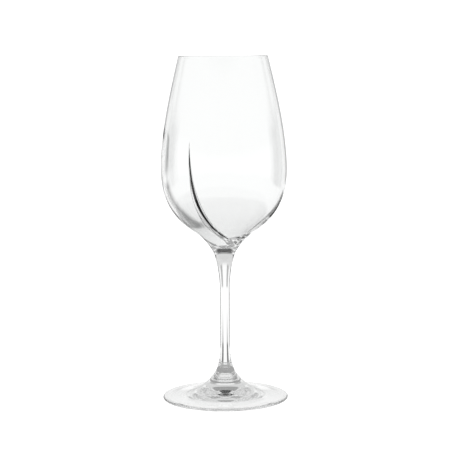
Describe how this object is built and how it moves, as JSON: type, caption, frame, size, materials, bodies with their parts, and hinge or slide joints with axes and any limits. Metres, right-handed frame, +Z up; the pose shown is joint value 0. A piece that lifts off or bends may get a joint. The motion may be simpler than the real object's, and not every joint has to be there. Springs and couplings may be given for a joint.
{
  "type": "wine glass",
  "caption": "Clear stemmed wine glass with a tall tapered bowl, a raised aerating wave inside its lower wall, a slim flared stem and a wide round foot.",
  "frame": {"origin": "centre of the foot, on the plane that the glass stands on", "axes": "+Z up along the stem to the bowl's lip; -Y towards the side of the bowl that shows the wave's crest left of centre"},
  "size_m": [0.088, 0.088, 0.24],
  "materials": {
    "clear_glass": "fire-polished clear crystal glass"
  },
  "bodies": {
    "root": {"bowl": "clear_glass", "stem": "clear_glass", "foot": "clear_glass"}
  },
  "joints": []
}
